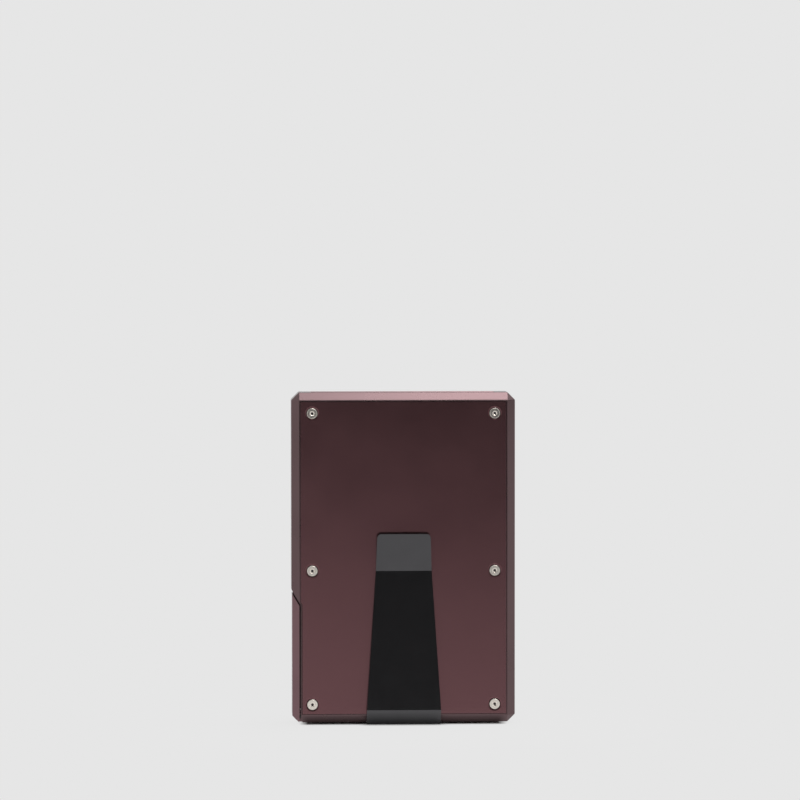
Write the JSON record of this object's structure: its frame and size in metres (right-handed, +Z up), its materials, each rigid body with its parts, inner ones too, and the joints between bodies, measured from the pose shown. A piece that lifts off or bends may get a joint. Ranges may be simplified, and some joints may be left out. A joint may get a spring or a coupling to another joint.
{
  "type": "magnetic phone card holder",
  "caption": "Upright chamfered metal card case with a spring steel money clip, a side lever that fans the cards out, and a ring of magnets that holds it to the back of a phone",
  "frame": {"origin": "on the ground under the clip's foot, in the middle of the bounding box's width and depth", "axes": "+X is the width, to the right as seen from the clip's face; +Y points from the clip's face to the phone's face; +Z is up, towards the mouth of the card room"},
  "size_m": [0.067, 0.0164, 0.0996],
  "materials": {
    "anodised_case": "dark burgundy anodised aluminium, fine satin blast",
    "anodised_lever": "dark burgundy anodised aluminium, fine satin blast",
    "screw_steel": "polished stainless steel",
    "black_spring_steel": "satin black coated spring steel",
    "pin_steel": "plain ground steel",
    "black_nylon": "matt black moulded nylon",
    "bearing_plastic": "waxy white bearing plastic",
    "card_felt": "dark grey felt",
    "magnet_nickel": "nickel plated magnet",
    "pad_rubber": "matt black silicone rubber"
  },
  "bodies": {
    "case": {"chamfer_frame": "anodised_case", "rear_face_plate": "anodised_case", "front_face_plate": "anodised_case", "rear_screw_top_left": "screw_steel", "rear_screw_top_right": "screw_steel", "rear_screw_middle_left": "screw_steel", "rear_screw_middle_right": "screw_steel", "rear_screw_bottom_left": "screw_steel", "rear_screw_bottom_right": "screw_steel", "money_clip": "black_spring_steel", "clip_screw_left": "black_spring_steel", "clip_screw_right": "black_spring_steel", "pivot_pin": "pin_steel", "magnet_yoke": "pin_steel", "magnet_tray": "black_nylon", "pivot_washer_rear": "bearing_plastic", "pivot_washer_front": "bearing_plastic", "card_felt_left": "card_felt", "card_felt_right": "card_felt", "ring_magnet_01": "magnet_nickel", "ring_magnet_02": "magnet_nickel", "ring_magnet_03": "magnet_nickel", "ring_magnet_04": "magnet_nickel", "ring_magnet_05": "magnet_nickel", "ring_magnet_06": "magnet_nickel", "ring_magnet_07": "magnet_nickel", "ring_magnet_08": "magnet_nickel", "ring_magnet_09": "magnet_nickel", "ring_magnet_10": "magnet_nickel", "ring_magnet_11": "magnet_nickel", "ring_magnet_12": "magnet_nickel", "ring_magnet_13": "magnet_nickel", "ring_magnet_14": "magnet_nickel", "ring_magnet_15": "magnet_nickel", "ring_magnet_16": "magnet_nickel", "align_magnet": "magnet_nickel", "front_grip_pad": "pad_rubber"},
    "lever": {"lever_arm": "anodised_lever", "fan_lifter": "black_nylon", "lifter_rivet_outer": "pin_steel", "lifter_rivet_inner": "pin_steel"}
  },
  "joints": [
    {"name": "lever_swing", "type": "hinge", "parent": "case", "child": "lever", "pos_m": [-0.0306, 0.00142, 0.00245], "axis": [0, -1, 0], "range_deg": [0, 20]}
  ]
}
